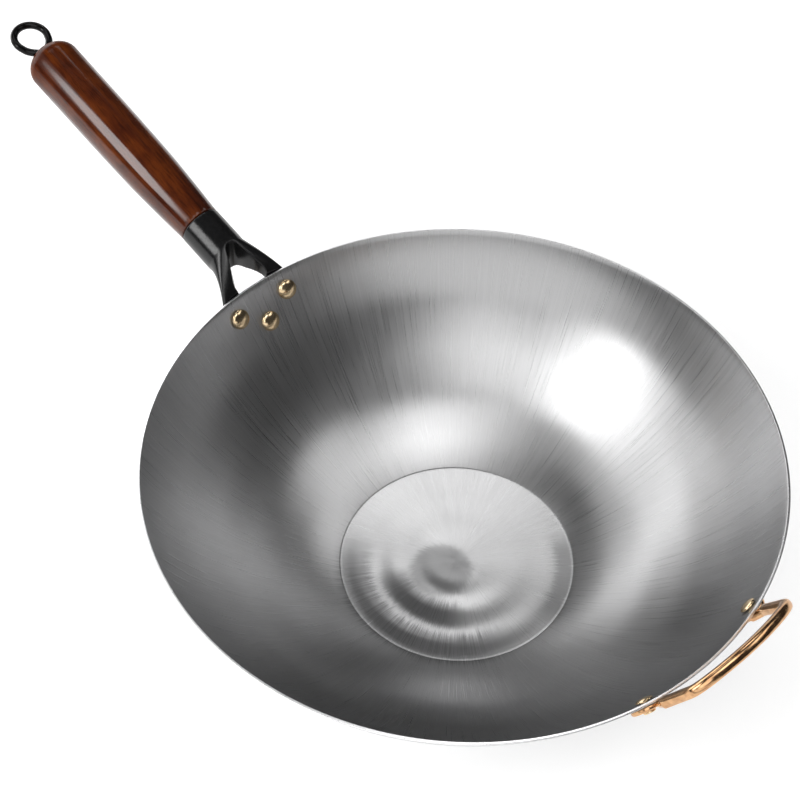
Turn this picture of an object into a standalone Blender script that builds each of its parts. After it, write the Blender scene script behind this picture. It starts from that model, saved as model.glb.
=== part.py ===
"""A stainless steel wok, 34 cm across its rim, with a long handle on a cast fork and a helper handle.

Metres, +Z up. The origin is the centre of the base's underside and +X points along the long handle.
Run with: blender --background --python part.py
"""

import math

import bmesh
import bpy
from mathutils import Matrix, Vector

# Bowl
RIM_RADIUS = 0.16854
BOWL_DEPTH = 0.09985
BASE_RADIUS = 0.0668
WALL_BULGE = 0.0135
SHEET = 0.0016
BASE_BEND_RADIUS = 0.0025
RIM_CHAMFER = 0.0003

# Clearances between neighbours
SEAT_GAP = 0.0003
FIT_GAP = 0.0003
HEAD_GAP = 0.0005

# Long handle: the axis leaves the rim and rises outwards
HANDLE_TILT = math.radians(17.2)
HANDLE_REACH = 0.0487

# Cast bracket
COLLAR_DIAMETER = 0.0258
COLLAR_LENGTH = 0.0244
COLLAR_EDGE = 0.0006
SOCKET_DIAMETER = 0.0200
SOCKET_DEPTH = 0.0143
FORK_SPREAD = 0.0474
FORK_RUN_PAST_RIM = 0.0027
FORK_DROP = 0.0144
FORK_FLARE = 1.3
FORK_SHOULDER = 2.0
PRONG_DEPTH = 0.0052
PRONG_SQUARENESS = 3.0
WINDOW_LENGTH = 0.0200
WINDOW_WIDTH = 0.0206
WINDOW_DRAFT = math.radians(14)
WINDOW_DRAFT_BELOW_RIM = 0.0011
PLATE_THICKNESS = 0.0032
PLATE_MARGIN = 0.0086
PLATE_EDGE = 0.0007

# Rivets through the wall and the bracket's plate
BRACKET_RIVET_SPREAD = 0.0354
BRACKET_RIVET_DOWN = 0.0126
LOWER_RIVET_DOWN = 0.0245
BRACKET_RIVET_HEAD = 0.0118
BRACKET_RIVET_DOME = 0.0027
BRACKET_RIVET_SHANK = 0.0050
BRACKET_RIVET_TAIL = 0.0084

# Turned grip
GRIP_LENGTH = 0.1500
GRIP_START_DIAMETER = 0.0256
GRIP_DIAMETER = 0.0322
GRIP_DOME = 0.0120
GRIP_EDGE = 0.0008
SPIGOT_LENGTH = 0.0140
EYE_MOUTH_DIAMETER = 0.0122
EYE_MOUTH_DEPTH = 0.0042

# Rod with the hanging eye
ROD_DIAMETER = 0.0050
ROD_THREAD_LENGTH = 0.0090
EYE_WIRE = 0.0044
EYE_RADIUS = 0.0101
EYE_CENTRE_OUT = 0.0123

# Helper handle, riveted on nearly opposite the long one
HELPER_ANGLE = math.radians(179.5)
HELPER_RIVET_SPREAD = 0.0775
HELPER_RIVET_DOWN = 0.0084
HELPER_RIVET_HEAD = 0.0092
HELPER_RIVET_DOME = 0.0017
HELPER_RIVET_SHANK = 0.0040
HELPER_RIVET_TAIL = 0.0066
HELPER_PAD_RADIUS = 0.0082
HELPER_PAD_DOWN = 0.0094
HELPER_PAD_THICKNESS = 0.0024
HELPER_STANDOFF = 0.0037
HELPER_FOOT_ABOVE_RIM = 0.0028
HELPER_SLOPE = math.radians(62.1)
HELPER_FOOT_SPAN = 0.0739
HELPER_CORNER_SPAN = 0.0668
HELPER_RISE = 0.0239
HELPER_BOW = 0.0092
HELPER_BAR_WIDTH = 0.0062
HELPER_BAR_DEPTH = 0.0055
HELPER_BAR_SQUARENESS = 2.6
HELPER_NECK_DIAMETER = 0.0036
HELPER_NECK_INWARD = 0.0054
HELPER_NECK_UP = 0.0026

# Fineness of the curved shapes
BOWL_STEPS = 96
WALL_STEPS = 8
GRIP_STEPS = 32
RIVET_STEPS = 16
FORK_POINTS = 28
BAR_POINTS = 14
WIRE_POINTS = 10
PAD_STEPS = 24
PLATE_CORNER_STEPS = 9
LONGEST_PAD_EDGE = 0.006
ROUND_ANGLE = math.radians(35)


def circle_through_wall():
    """Centre, radius and end slopes of the arc that the inner wall follows."""
    across = RIM_RADIUS - BASE_RADIUS
    chord = math.hypot(across, BOWL_DEPTH)
    radius = (chord * chord / 4 + WALL_BULGE * WALL_BULGE) / (2 * WALL_BULGE)
    half_turn = math.asin(chord / 2 / radius)
    chord_slope = math.atan2(BOWL_DEPTH, across)
    rim_slope = chord_slope + half_turn
    base_slope = chord_slope - half_turn
    centre_r = RIM_RADIUS - radius * math.sin(rim_slope)
    centre_z = SHEET + BOWL_DEPTH + radius * math.cos(rim_slope)
    return centre_r, centre_z, radius, base_slope, rim_slope


WALL_R, WALL_Z, WALL_RADIUS, BASE_SLOPE, RIM_SLOPE = circle_through_wall()


def wall_point(slope, offset):
    """Radius and height on the wall where it has this slope, moved outwards by the offset."""
    reach = WALL_RADIUS + offset
    return WALL_R + reach * math.sin(slope), WALL_Z - reach * math.cos(slope)


RIM_EDGE_RADIUS, RIM_EDGE_HEIGHT = wall_point(RIM_SLOPE, SHEET)


def slope_below_rim(down):
    """Slope of the wall at a distance down from the rim, measured along the sheet."""
    return RIM_SLOPE - down / WALL_RADIUS


def wall_frame(angle, down, offset=0.0):
    """Frame on the wall: X runs round the bowl, Y up the wall and Z out of it."""
    slope = slope_below_rim(down)
    radius, height = wall_point(slope, offset)
    radial = Vector((math.cos(angle), math.sin(angle), 0))
    around = Vector((-math.sin(angle), math.cos(angle), 0))
    up = radial * math.cos(slope) + Vector((0, 0, math.sin(slope)))
    out = radial * math.sin(slope) - Vector((0, 0, math.cos(slope)))
    frame = Matrix((around, up, out)).transposed().to_4x4()
    frame.translation = radial * radius + Vector((0, 0, height))
    return frame


def angle_for_half_span(span, down, offset=0.0):
    """Angle round the bowl of a point on the wall that lies half a span off the handle's line."""
    radius, _ = wall_point(slope_below_rim(down), offset)
    return math.asin(span / 2 / radius)


def sheet_profile(offset):
    """Radius and height along the sheet from the flat base up to the rim, moved outwards."""
    points = []
    bend_start = BASE_RADIUS - BASE_BEND_RADIUS * math.tan(BASE_SLOPE / 2)
    bend_steps = 3
    for i in range(bend_steps + 1):
        turn = BASE_SLOPE * i / bend_steps
        radius = bend_start + (BASE_BEND_RADIUS + offset) * math.sin(turn)
        height = SHEET + BASE_BEND_RADIUS - (BASE_BEND_RADIUS + offset) * math.cos(turn)
        points.append((radius, height))
    for i in range(1, WALL_STEPS + 1):
        slope = BASE_SLOPE + (RIM_SLOPE - BASE_SLOPE) * i / WALL_STEPS
        points.append(wall_point(slope, offset))
    return points


def smooth_path(points, per_span, closed=False):
    """Points on a smooth curve through the given ones."""
    points = [Vector(p) for p in points]
    count = len(points)
    spans = count if closed else count - 1
    path = []
    for i in range(spans):
        if closed:
            before, here, there, after = (points[(i + k) % count] for k in (-1, 0, 1, 2))
        else:
            here, there = points[i], points[i + 1]
            before = points[i - 1] if i else here * 2 - there
            after = points[i + 2] if i + 2 < count else there * 2 - here
        for step in range(per_span):
            t = step / per_span
            path.append(
                here
                + (there - before) * (t / 2)
                + (before * 2 - here * 5 + there * 4 - after) * (t * t / 2)
                + (here * 3 - before - there * 3 + after) * (t * t * t / 2)
            )
    if not closed:
        path.append(points[-1])
    return path


def loft(rings, closed=False):
    """A closed body through rings of points, capped at both ends unless it closes on itself."""
    body = bmesh.new()
    loops = [[body.verts.new(p) for p in ring] for ring in rings]
    pairs = list(zip(loops, loops[1:]))
    if closed:
        pairs.append((loops[-1], loops[0]))
    for low, high in pairs:
        for i in range(len(low)):
            j = (i + 1) % len(low)
            body.faces.new((low[i], low[j], high[j], high[i]))
    if not closed:
        body.faces.new(loops[0])
        body.faces.new(loops[-1])
    bmesh.ops.recalc_face_normals(body, faces=body.faces)
    return body


def turned(profile, steps):
    """A body turned about Z from a profile of radius and height that ends on the axis or meets itself."""
    body = bmesh.new()
    corners = [body.verts.new((radius, 0, height)) for radius, height in profile]
    edges = [body.edges.new(pair) for pair in zip(corners, corners[1:])]
    if profile[0][0] > 0:
        edges.append(body.edges.new((corners[-1], corners[0])))
    bmesh.ops.spin(
        body,
        geom=corners + edges,
        cent=(0, 0, 0),
        axis=(0, 0, 1),
        angle=2 * math.pi,
        steps=steps,
        use_merge=True,
    )
    bmesh.ops.remove_doubles(body, verts=body.verts, dist=0.000001)
    bmesh.ops.recalc_face_normals(body, faces=body.faces)
    return body


def section(half_width, half_depth, squareness, count):
    """Points of a rounded section, a circle or ellipse at squareness 2 and boxier above it."""
    points = []
    for i in range(count):
        turn = 2 * math.pi * i / count
        across, up = math.cos(turn), math.sin(turn)
        points.append(
            (
                math.copysign(abs(across) ** (2 / squareness), across) * half_width,
                math.copysign(abs(up) ** (2 / squareness), up) * half_depth,
            )
        )
    return points


def swept(path, outlines, across_start, closed=False):
    """A body swept along a path, with the section's width kept near to a starting direction."""
    rings = []
    across = Vector(across_start)
    for i, point in enumerate(path):
        before = path[i - 1] if i or closed else path[0]
        after = path[(i + 1) % len(path)] if i + 1 < len(path) or closed else path[-1]
        along = (after - before).normalized()
        across = (across - along * across.dot(along)).normalized()
        up = along.cross(across)
        rings.append([point + across * a + up * b for a, b in outlines[i]])
    return loft(rings, closed)


def with_round_ends(path, outline, reach):
    """The path with a dome added at both ends, and the outline scaled for each of its points."""
    dome_steps = 3
    last_turn = math.radians(81)
    turns = [last_turn * i / dome_steps for i in range(dome_steps, 0, -1)]
    start = (path[0] - path[1]).normalized() * reach
    end = (path[-1] - path[-2]).normalized() * reach
    points = [path[0] + start * math.sin(t) for t in turns] + path
    points += [path[-1] + end * math.sin(t) for t in turns[::-1]]
    sizes = [math.cos(t) for t in turns] + [1.0] * len(path) + [math.cos(t) for t in turns[::-1]]
    return points, [[(a * size, b * size) for a, b in outline] for size in sizes]


def rounded_outline(centres, radius, steps):
    """Outline at a distance round a point, or round a polygon that runs anticlockwise."""
    count = len(centres)
    if count == 1:
        turns = [2 * math.pi * i / steps for i in range(steps)]
        return [(centres[0][0] + radius * math.cos(t), centres[0][1] + radius * math.sin(t)) for t in turns]
    outline = []
    for i, (x, y) in enumerate(centres):
        last_x, last_y = centres[i - 1]
        next_x, next_y = centres[(i + 1) % count]
        start = math.atan2(-(x - last_x), y - last_y)
        end = math.atan2(-(next_x - x), next_y - y)
        turn = (end - start) % (2 * math.pi)
        for step in range(steps + 1):
            t = start + turn * step / steps
            outline.append((x + radius * math.cos(t), y + radius * math.sin(t)))
        corner_x, corner_y = outline[-1]
        parts = max(1, math.ceil(math.hypot(next_x - x, next_y - y) / LONGEST_PAD_EDGE))
        for part in range(1, parts):
            share = part / parts
            outline.append((corner_x + (next_x - x) * share, corner_y + (next_y - y) * share))
    return outline


def wall_pad(outline, angle, down, thickness, edge):
    """A pad that follows the outside of the wall, from an outline round a point on the wall."""
    inner = SHEET + SEAT_GAP
    outer = inner + thickness
    middle_x = sum(x for x, _ in outline) / len(outline)
    middle_y = sum(y for _, y in outline) / len(outline)
    reach = min(math.hypot(x - middle_x, y - middle_y) for x, y in outline)

    def on_wall(x, y, offset):
        slope = slope_below_rim(down - y)
        radius, height = wall_point(slope, offset)
        turn = angle + x / radius
        return Vector((radius * math.cos(turn), radius * math.sin(turn), height))

    def ring(share, offset):
        points = []
        for x, y in outline:
            ring_x = middle_x + (x - middle_x) * share
            ring_y = middle_y + (y - middle_y) * share
            points.append(on_wall(ring_x, ring_y, offset))
        return points

    inset = 1 - edge / reach
    shares = [(1 / 3, inner), (2 / 3, inner), (1, inner), (1, outer - edge)]
    shares += [(inset, outer), (2 / 3, outer), (1 / 3, outer)]
    pad = bmesh.new()
    loops = [[pad.verts.new(p) for p in ring(share, offset)] for share, offset in shares]
    for low, high in zip(loops, loops[1:]):
        for i in range(len(low)):
            j = (i + 1) % len(low)
            pad.faces.new((low[i], low[j], high[j], high[i]))
    for loop, offset in ((loops[0], inner), (loops[-1], outer)):
        tip = pad.verts.new(on_wall(middle_x, middle_y, offset))
        for i in range(len(loop)):
            pad.faces.new((loop[i], loop[(i + 1) % len(loop)], tip))
    bmesh.ops.recalc_face_normals(pad, faces=pad.faces)
    return pad


def material(name, colour, metallic, roughness):
    made = bpy.data.materials.new(name)
    made.use_nodes = True
    shader = made.node_tree.nodes["Principled BSDF"]
    shader.inputs["Base Color"].default_value = (*colour, 1)
    shader.inputs["Metallic"].default_value = metallic
    shader.inputs["Roughness"].default_value = roughness
    made.diffuse_color = (*colour, 1)
    return made


def make_mesh(name, body, finish=None):
    mesh = bpy.data.meshes.new(name)
    body.to_mesh(mesh)
    body.free()
    mesh.shade_smooth()
    mesh.set_sharp_from_angle(angle=ROUND_ANGLE)
    if finish:
        mesh.materials.append(finish)
    return mesh


def add_object(name, mesh, parent=None, matrix=None):
    made = bpy.data.objects.new(name, mesh)
    bpy.context.scene.collection.objects.link(made)
    made.parent = parent
    if matrix:
        made.matrix_basis = matrix
    return made


def add_tool(name, body, parent=None, matrix=None):
    """A body that only cuts or joins another and isn't a piece itself."""
    tool = add_object(name, make_mesh(name, body), parent, matrix)
    tool.hide_render = True
    tool.display_type = "WIRE"
    return tool


def add_boolean(target, tool, operation):
    step = target.modifiers.new(tool.name, "BOOLEAN")
    step.operation = operation
    step.object = tool
    step.solver = "EXACT"


def rod_body(radius, start, end, steps=RIVET_STEPS):
    """A plain round bar about Z between two heights."""
    return turned([(0, end), (radius, end), (radius, start), (0, start)], steps)


def pin_between(start, end, radius, steps):
    """A bar with round ends, between two points, and the frame that it lies in."""
    length = (end - start).length
    end_steps = 4
    profile = []
    for i in range(end_steps + 1):
        turn = math.pi / 2 * i / end_steps
        profile.append((radius * math.sin(turn), length + radius * math.cos(turn)))
    profile[0] = (0, length + radius)
    profile += [(r, length - z) for r, z in profile[::-1]]
    frame = (end - start).to_track_quat("Z", "Y").to_matrix().to_4x4()
    frame.translation = start
    return turned(profile, steps), frame


def rivet_body(head, dome, shank, tail, grip):
    """A domed rivet with a rolled hollow tail. Z runs out of the wall from its inner face."""
    head_radius, shank_radius, tail_radius = head / 2, shank / 2, tail / 2
    lip = dome * 0.22
    seat = grip + SEAT_GAP
    tail_height = tail_radius * 0.32
    hollow = shank_radius * 0.62
    hollow_floor = seat - tail_height * 0.6
    profile = [(0, hollow_floor), (hollow * 0.7, hollow_floor), (hollow, seat + tail_height)]
    profile += [(tail_radius * 0.8, seat + tail_height), (tail_radius, seat + tail_height * 0.45)]
    profile += [(tail_radius * 0.96, seat), (shank_radius, seat), (shank_radius, -HEAD_GAP)]
    profile += [(head_radius * 0.965, -HEAD_GAP), (head_radius, -HEAD_GAP - lip * 0.5)]
    dome_steps = 5
    for i in range(dome_steps):
        turn = math.pi / 2 * i / dome_steps
        height = -HEAD_GAP - lip - (dome - lip) * math.sin(turn)
        profile.append((head_radius * math.cos(turn) * 0.985, height))
    profile.append((0, -HEAD_GAP - dome))
    return turned(profile, RIVET_STEPS)


def stepped_drill(shank, tail, plate):
    """A cutter for a rivet's hole in a plate behind the wall, wider behind it to clear the tail."""
    face = SHEET + SEAT_GAP + plate
    hole = shank / 2 + FIT_GAP
    clear = tail / 2 + HEAD_GAP
    far = face + tail
    near = SHEET / 2
    profile = [(0, far), (clear, far), (clear, face), (hole, face), (hole, near), (0, near)]
    return turned(profile, RIVET_STEPS)


def bowl(finish, holes):
    """The spun bowl with its flat base, bare rim and rivet holes."""
    inside = sheet_profile(0.0)
    outside = sheet_profile(SHEET)
    rim_in = wall_point(RIM_SLOPE, RIM_CHAMFER)
    rim_out = wall_point(RIM_SLOPE, SHEET - RIM_CHAMFER)
    short_slope = slope_below_rim(RIM_CHAMFER)
    inside[-1] = wall_point(short_slope, 0.0)
    outside[-1] = wall_point(short_slope, SHEET)
    profile = [(0, SHEET)] + inside + [rim_in, rim_out] + outside[::-1] + [(0, 0)]
    piece = add_object("bowl", make_mesh("bowl", turned(profile, BOWL_STEPS), finish))
    for name, matrix, shank in holes:
        drill = rod_body(shank / 2 + FIT_GAP, -SHEET, 2 * SHEET)
        add_boolean(piece, add_tool("bowl_hole_" + name, drill, None, matrix), "DIFFERENCE")
    return piece


def bowl_envelope(offset):
    """Everything inside the wall and above the rim, grown by an offset, to trim the fork with."""
    wall = sheet_profile(SHEET + offset)
    top = RIM_EDGE_HEIGHT + HANDLE_REACH
    return turned([(0, top), (wall[-1][0], top)] + wall[::-1] + [(0, wall[0][1])], BOWL_STEPS)


def fork_body():
    """Collar and fork as one loft along the handle axis, before the window is cut."""
    collar_radius = COLLAR_DIAMETER / 2
    run = HANDLE_REACH + FORK_RUN_PAST_RIM - COLLAR_LENGTH
    end_radius = collar_radius - COLLAR_EDGE
    round_squareness = 2.0
    stations = [(0.0, end_radius, end_radius, -end_radius, round_squareness)]
    stations.append((-COLLAR_EDGE, collar_radius, collar_radius, -collar_radius, round_squareness))
    steps = 9
    overrun = 1.35
    for i in range(steps + 1):
        share = overrun * i / steps
        flare = share**FORK_FLARE
        width = collar_radius + (FORK_SPREAD / 2 - collar_radius) * flare
        top = collar_radius - FORK_DROP * flare
        depth = PRONG_DEPTH + (COLLAR_DIAMETER - PRONG_DEPTH) * max(0.0, 1 - share) ** FORK_SHOULDER
        squareness = round_squareness + (PRONG_SQUARENESS - round_squareness) * min(1.0, share)
        stations.append((-COLLAR_LENGTH - run * share, width, top, top - depth, squareness))
    rings = []
    for along, width, top, bottom, squareness in stations:
        outline = section(width, (top - bottom) / 2, squareness, FORK_POINTS)
        rings.append([(along, across, (top + bottom) / 2 + up) for across, up in outline])
    return loft(rings)


def window_body():
    """The fork's window, wider towards the top, to be cut straight down between the prongs."""
    shape = [(1, 0.0), (0.985, 0.17), (0.94, 0.28), (0.86, 0.35), (0.65, 0.46)]
    shape += [(0.42, 0.69), (0.2, 0.95), (0.0, 1.0), (-0.5, 0.93)]
    low = RIM_EDGE_HEIGHT - COLLAR_DIAMETER
    draft_start = RIM_EDGE_HEIGHT - WINDOW_DRAFT_BELOW_RIM
    high = RIM_EDGE_HEIGHT + COLLAR_DIAMETER
    levels = ((low, 0.0), (draft_start, 0.0), (high, (high - draft_start) * math.tan(WINDOW_DRAFT)))
    rings = []
    for height, draft in levels:
        side = []
        for along, across in shape:
            half = across * WINDOW_WIDTH / 2 + draft * min(1.0, 1 - along)
            side.append((RIM_EDGE_RADIUS + WINDOW_LENGTH * along, half, height))
        side = smooth_path(side, 2)
        other = [(x, -y, z) for x, y, z in side[:0:-1]]
        rings.append([tuple(p) for p in side] + other)
    return loft(rings)


def rivet_places():
    """Name and frame of each rivet of the bracket."""
    turn = angle_for_half_span(BRACKET_RIVET_SPREAD, BRACKET_RIVET_DOWN)
    return [
        ("bracket_rivet_left", wall_frame(turn, BRACKET_RIVET_DOWN)),
        ("bracket_rivet_right", wall_frame(-turn, BRACKET_RIVET_DOWN)),
        ("bracket_rivet_lower", wall_frame(0.0, LOWER_RIVET_DOWN)),
    ]


def bracket(finish, handle_frame, along_handle):
    """The cast bracket: collar, fork and the plate behind the wall."""
    piece = add_object("handle_bracket", make_mesh("handle_bracket", fork_body(), finish), handle_frame)
    trim = SEAT_GAP + PLATE_THICKNESS / 4
    add_boolean(piece, add_tool("fork_trim", bowl_envelope(trim)), "DIFFERENCE")
    add_boolean(piece, add_tool("fork_window", window_body()), "DIFFERENCE")
    half = BRACKET_RIVET_SPREAD / 2
    drop = BRACKET_RIVET_DOWN - LOWER_RIVET_DOWN
    outline = rounded_outline([(-half, 0), (0, drop), (half, 0)], PLATE_MARGIN, PLATE_CORNER_STEPS)
    plate = wall_pad(outline, 0.0, BRACKET_RIVET_DOWN, PLATE_THICKNESS, PLATE_EDGE)
    add_boolean(piece, add_tool("bracket_plate", plate), "UNION")
    socket = rod_body(SOCKET_DIAMETER / 2, -SOCKET_DEPTH, COLLAR_DIAMETER, GRIP_STEPS)
    add_boolean(piece, add_tool("collar_socket", socket, handle_frame, along_handle), "DIFFERENCE")
    thread_end = -SOCKET_DEPTH - ROD_THREAD_LENGTH - FIT_GAP
    thread = rod_body(ROD_DIAMETER / 2 + FIT_GAP, thread_end, 0.0)
    add_boolean(piece, add_tool("rod_thread_hole", thread, handle_frame, along_handle), "DIFFERENCE")
    for name, matrix in rivet_places():
        drill = stepped_drill(BRACKET_RIVET_SHANK, BRACKET_RIVET_TAIL, PLATE_THICKNESS)
        add_boolean(piece, add_tool("plate_hole_" + name, drill, None, matrix), "DIFFERENCE")
    return piece


def grip(finish, handle_frame, along_handle):
    """The turned wood grip with a spigot for the collar and a bore for the rod."""
    bore = ROD_DIAMETER / 2 + FIT_GAP
    spigot = SOCKET_DIAMETER / 2 - FIT_GAP
    start = FIT_GAP
    full = GRIP_DIAMETER / 2
    first = GRIP_START_DIAMETER / 2
    dome_start = GRIP_LENGTH - GRIP_DOME
    side = [(first, start + GRIP_EDGE)]
    for share, swell in ((0.135, 0.38), (0.30, 0.76), (0.52, 0.94), (0.76, 1.0)):
        side.append((first + (full - first) * swell, GRIP_LENGTH * share))
    mouth = EYE_MOUTH_DIAMETER / 2
    dome_end = math.acos(mouth / full)
    dome_steps = 7
    dome = []
    for i in range(dome_steps + 1):
        turn = dome_end * i / dome_steps
        dome.append((full * math.cos(turn), dome_start + GRIP_DOME * math.sin(turn)))
    outline = [(bore, -SPIGOT_LENGTH), (spigot - GRIP_EDGE, -SPIGOT_LENGTH)]
    outline += [(spigot, -SPIGOT_LENGTH + GRIP_EDGE), (spigot, start), (first - GRIP_EDGE, start)]
    outline += [(p.x, p.y) for p in smooth_path(side + [dome[0]], 3)]
    outline += dome[1:]
    outline += [(bore, dome[-1][1] - EYE_MOUTH_DEPTH)]
    mesh = make_mesh("handle_grip", turned(outline[::-1], GRIP_STEPS), finish)
    return add_object("handle_grip", mesh, handle_frame, along_handle)


def eye_rod(finish, handle_frame, along_handle):
    """The rod that runs through the grip into the collar, with the hanging eye on its end."""
    wire = EYE_WIRE / 2
    half_turn = math.radians(115)
    side_steps = 7
    ring = []
    for i in range(side_steps + 1):
        turn = half_turn * i / side_steps
        ring.append((EYE_CENTRE_OUT + EYE_RADIUS * math.cos(turn), EYE_RADIUS * math.sin(turn)))
    last_out, last_side = ring[-1]
    for share, spread in ((0.7, 0.885), (0.44, 0.70), (0.22, 0.48), (0.05, 0.24)):
        ring.append((last_out * share, last_side * spread))
    half = ring + [(0.0, 0.0)]
    whole = half + [(out, -side) for out, side in half[-2:0:-1]]
    path = smooth_path([(0, side, GRIP_LENGTH + out) for out, side in whole], 2, closed=True)
    outline = section(wire, wire, 2.0, WIRE_POINTS)
    eye = swept(path, [outline] * len(path), (1, 0, 0), closed=True)
    piece = add_object("eye_rod", make_mesh("eye_rod", eye, finish), handle_frame, along_handle)
    stem_start = -SOCKET_DEPTH - ROD_THREAD_LENGTH
    stem = rod_body(ROD_DIAMETER / 2, stem_start, GRIP_LENGTH)
    add_boolean(piece, add_tool("eye_stem", stem, handle_frame, along_handle), "UNION")
    return piece


def helper_rivet_places():
    """Name and frame of each rivet of the helper handle, on the side opposite the long handle."""
    turn = angle_for_half_span(HELPER_RIVET_SPREAD, HELPER_RIVET_DOWN)
    return [
        ("helper_rivet_left", wall_frame(HELPER_ANGLE + turn, HELPER_RIVET_DOWN)),
        ("helper_rivet_right", wall_frame(HELPER_ANGLE - turn, HELPER_RIVET_DOWN)),
    ]


def helper_path():
    """Centre line of the helper handle from one foot over the grip bar to the other.

    Worked out on the side of +X and turned round afterwards.
    """
    foot_half = HELPER_FOOT_SPAN / 2
    corner_half = HELPER_CORNER_SPAN / 2
    foot_reach = math.sqrt((RIM_EDGE_RADIUS + HELPER_STANDOFF) ** 2 - foot_half**2)
    foot = Vector((foot_reach, 0, RIM_EDGE_HEIGHT + HELPER_FOOT_ABOVE_RIM))
    rise = Vector((math.cos(HELPER_SLOPE), 0, math.sin(HELPER_SLOPE)))
    side = Vector((0, 1, 0))
    half = [foot + side * foot_half]
    for share in (0.3, 0.6, 0.84):
        across = foot_half + (corner_half - foot_half) * share
        half.append(foot + rise * HELPER_RISE * share + side * across)
    corner_rise, corner_share = 0.99, 0.955
    half.append(foot + rise * HELPER_RISE * corner_rise + side * corner_half * corner_share)
    for share in (0.8, 0.54, 0.27):
        half.append(foot + rise * (HELPER_RISE + HELPER_BOW * (1 - share**2)) + side * corner_half * share)
    middle = foot + rise * (HELPER_RISE + HELPER_BOW)
    other = [Vector((p.x, -p.y, p.z)) for p in half[::-1]]
    return smooth_path(half + [middle] + other, 2)


def helper_handle(finish, helper_frame):
    """The cast helper handle: a bowed bar, two legs and a foot pad under each."""
    path = helper_path()
    outline = section(HELPER_BAR_WIDTH / 2, HELPER_BAR_DEPTH / 2, HELPER_BAR_SQUARENESS, BAR_POINTS)
    bar = swept(*with_round_ends(path, outline, HELPER_BAR_DEPTH / 5), (0, 1, 0))
    piece = add_object("helper_handle", make_mesh("helper_handle", bar, finish), helper_frame)
    turn = angle_for_half_span(HELPER_RIVET_SPREAD, HELPER_RIVET_DOWN)
    neck_radius = HELPER_NECK_DIAMETER / 2
    neck_offset = SHEET + 2 * SEAT_GAP + neck_radius
    out_of_bar = Vector((math.sin(HELPER_SLOPE), 0, -math.cos(HELPER_SLOPE)))
    neck_shift = out_of_bar * (HELPER_BAR_DEPTH / 2 - neck_radius)
    pad_centre = (0, HELPER_RIVET_DOWN - HELPER_PAD_DOWN)
    outline = rounded_outline([pad_centre], HELPER_PAD_RADIUS, PAD_STEPS)
    for name, side, foot in (("left", 1, path[0]), ("right", -1, path[-1])):
        pad = wall_pad(outline, side * turn, HELPER_RIVET_DOWN, HELPER_PAD_THICKNESS, PLATE_EDGE)
        add_boolean(piece, add_tool("helper_pad_" + name, pad, helper_frame), "UNION")
        place = wall_frame(side * turn, HELPER_RIVET_DOWN - HELPER_NECK_UP, neck_offset)
        start = place @ Vector((-side * HELPER_NECK_INWARD, 0, 0))
        neck, frame = pin_between(start, foot + neck_shift, neck_radius, BAR_POINTS)
        add_boolean(piece, add_tool("helper_neck_" + name, neck, helper_frame, frame), "UNION")
    for name, matrix in helper_rivet_places():
        drill = stepped_drill(HELPER_RIVET_SHANK, HELPER_RIVET_TAIL, HELPER_PAD_THICKNESS)
        add_boolean(piece, add_tool("pad_hole_" + name, drill, None, matrix), "DIFFERENCE")
    return piece


def add_rivets(name, places, sizes, plate, finish):
    """Rivets that share one mesh, each in its own place on the wall."""
    mesh = make_mesh(name, rivet_body(*sizes, SHEET + SEAT_GAP + plate), finish)
    for piece_name, matrix in places:
        add_object(piece_name, mesh, None, matrix)


def add_frame(name, matrix):
    frame = bpy.data.objects.new(name, None)
    bpy.context.scene.collection.objects.link(frame)
    frame.matrix_basis = matrix
    return frame


def build():
    for old in list(bpy.context.scene.objects):
        bpy.data.objects.remove(old, do_unlink=True)

    steel = material("brushed_steel", (0.56, 0.56, 0.57), 1.0, 0.32)
    iron = material("black_iron", (0.02, 0.02, 0.022), 0.3, 0.42)
    wood = material("red_brown_wood", (0.16, 0.035, 0.012), 0.0, 0.3)
    rose_gold = material("rose_gold", (0.78, 0.47, 0.24), 1.0, 0.18)
    pale_gold = material("pale_gold", (0.80, 0.66, 0.42), 1.0, 0.2)

    rim = Vector((RIM_EDGE_RADIUS, 0, RIM_EDGE_HEIGHT))
    axis = Vector((math.cos(HANDLE_TILT), 0, math.sin(HANDLE_TILT)))
    joint = Matrix.Translation(rim + axis * HANDLE_REACH) @ Matrix.Rotation(-HANDLE_TILT, 4, "Y")
    handle_frame = add_frame("handle_frame", joint)
    helper_frame = add_frame("helper_frame", Matrix.Rotation(HELPER_ANGLE, 4, "Z"))
    along_handle = Matrix.Rotation(math.pi / 2, 4, "Y")

    holes = [(name, matrix, BRACKET_RIVET_SHANK) for name, matrix in rivet_places()]
    holes += [(name, matrix, HELPER_RIVET_SHANK) for name, matrix in helper_rivet_places()]
    bowl(steel, holes)
    bracket(iron, handle_frame, along_handle)
    grip(wood, handle_frame, along_handle)
    eye_rod(iron, handle_frame, along_handle)
    bracket_sizes = (BRACKET_RIVET_HEAD, BRACKET_RIVET_DOME, BRACKET_RIVET_SHANK, BRACKET_RIVET_TAIL)
    add_rivets("bracket_rivet", rivet_places(), bracket_sizes, PLATE_THICKNESS, pale_gold)
    helper_handle(rose_gold, helper_frame)
    helper_sizes = (HELPER_RIVET_HEAD, HELPER_RIVET_DOME, HELPER_RIVET_SHANK, HELPER_RIVET_TAIL)
    add_rivets("helper_rivet", helper_rivet_places(), helper_sizes, HELPER_PAD_THICKNESS, pale_gold)


build()
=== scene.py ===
"""The look of a stainless steel wok with a long wooden handle and a rose-gold helper handle.

Metres, +Z up. The origin is the centre of the base's underside and +X points along the long handle.
Each piece is modelled finely and stands for one plain solid of the part.
"""

import math

import bmesh
import bpy
from mathutils import Matrix, Vector


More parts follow.
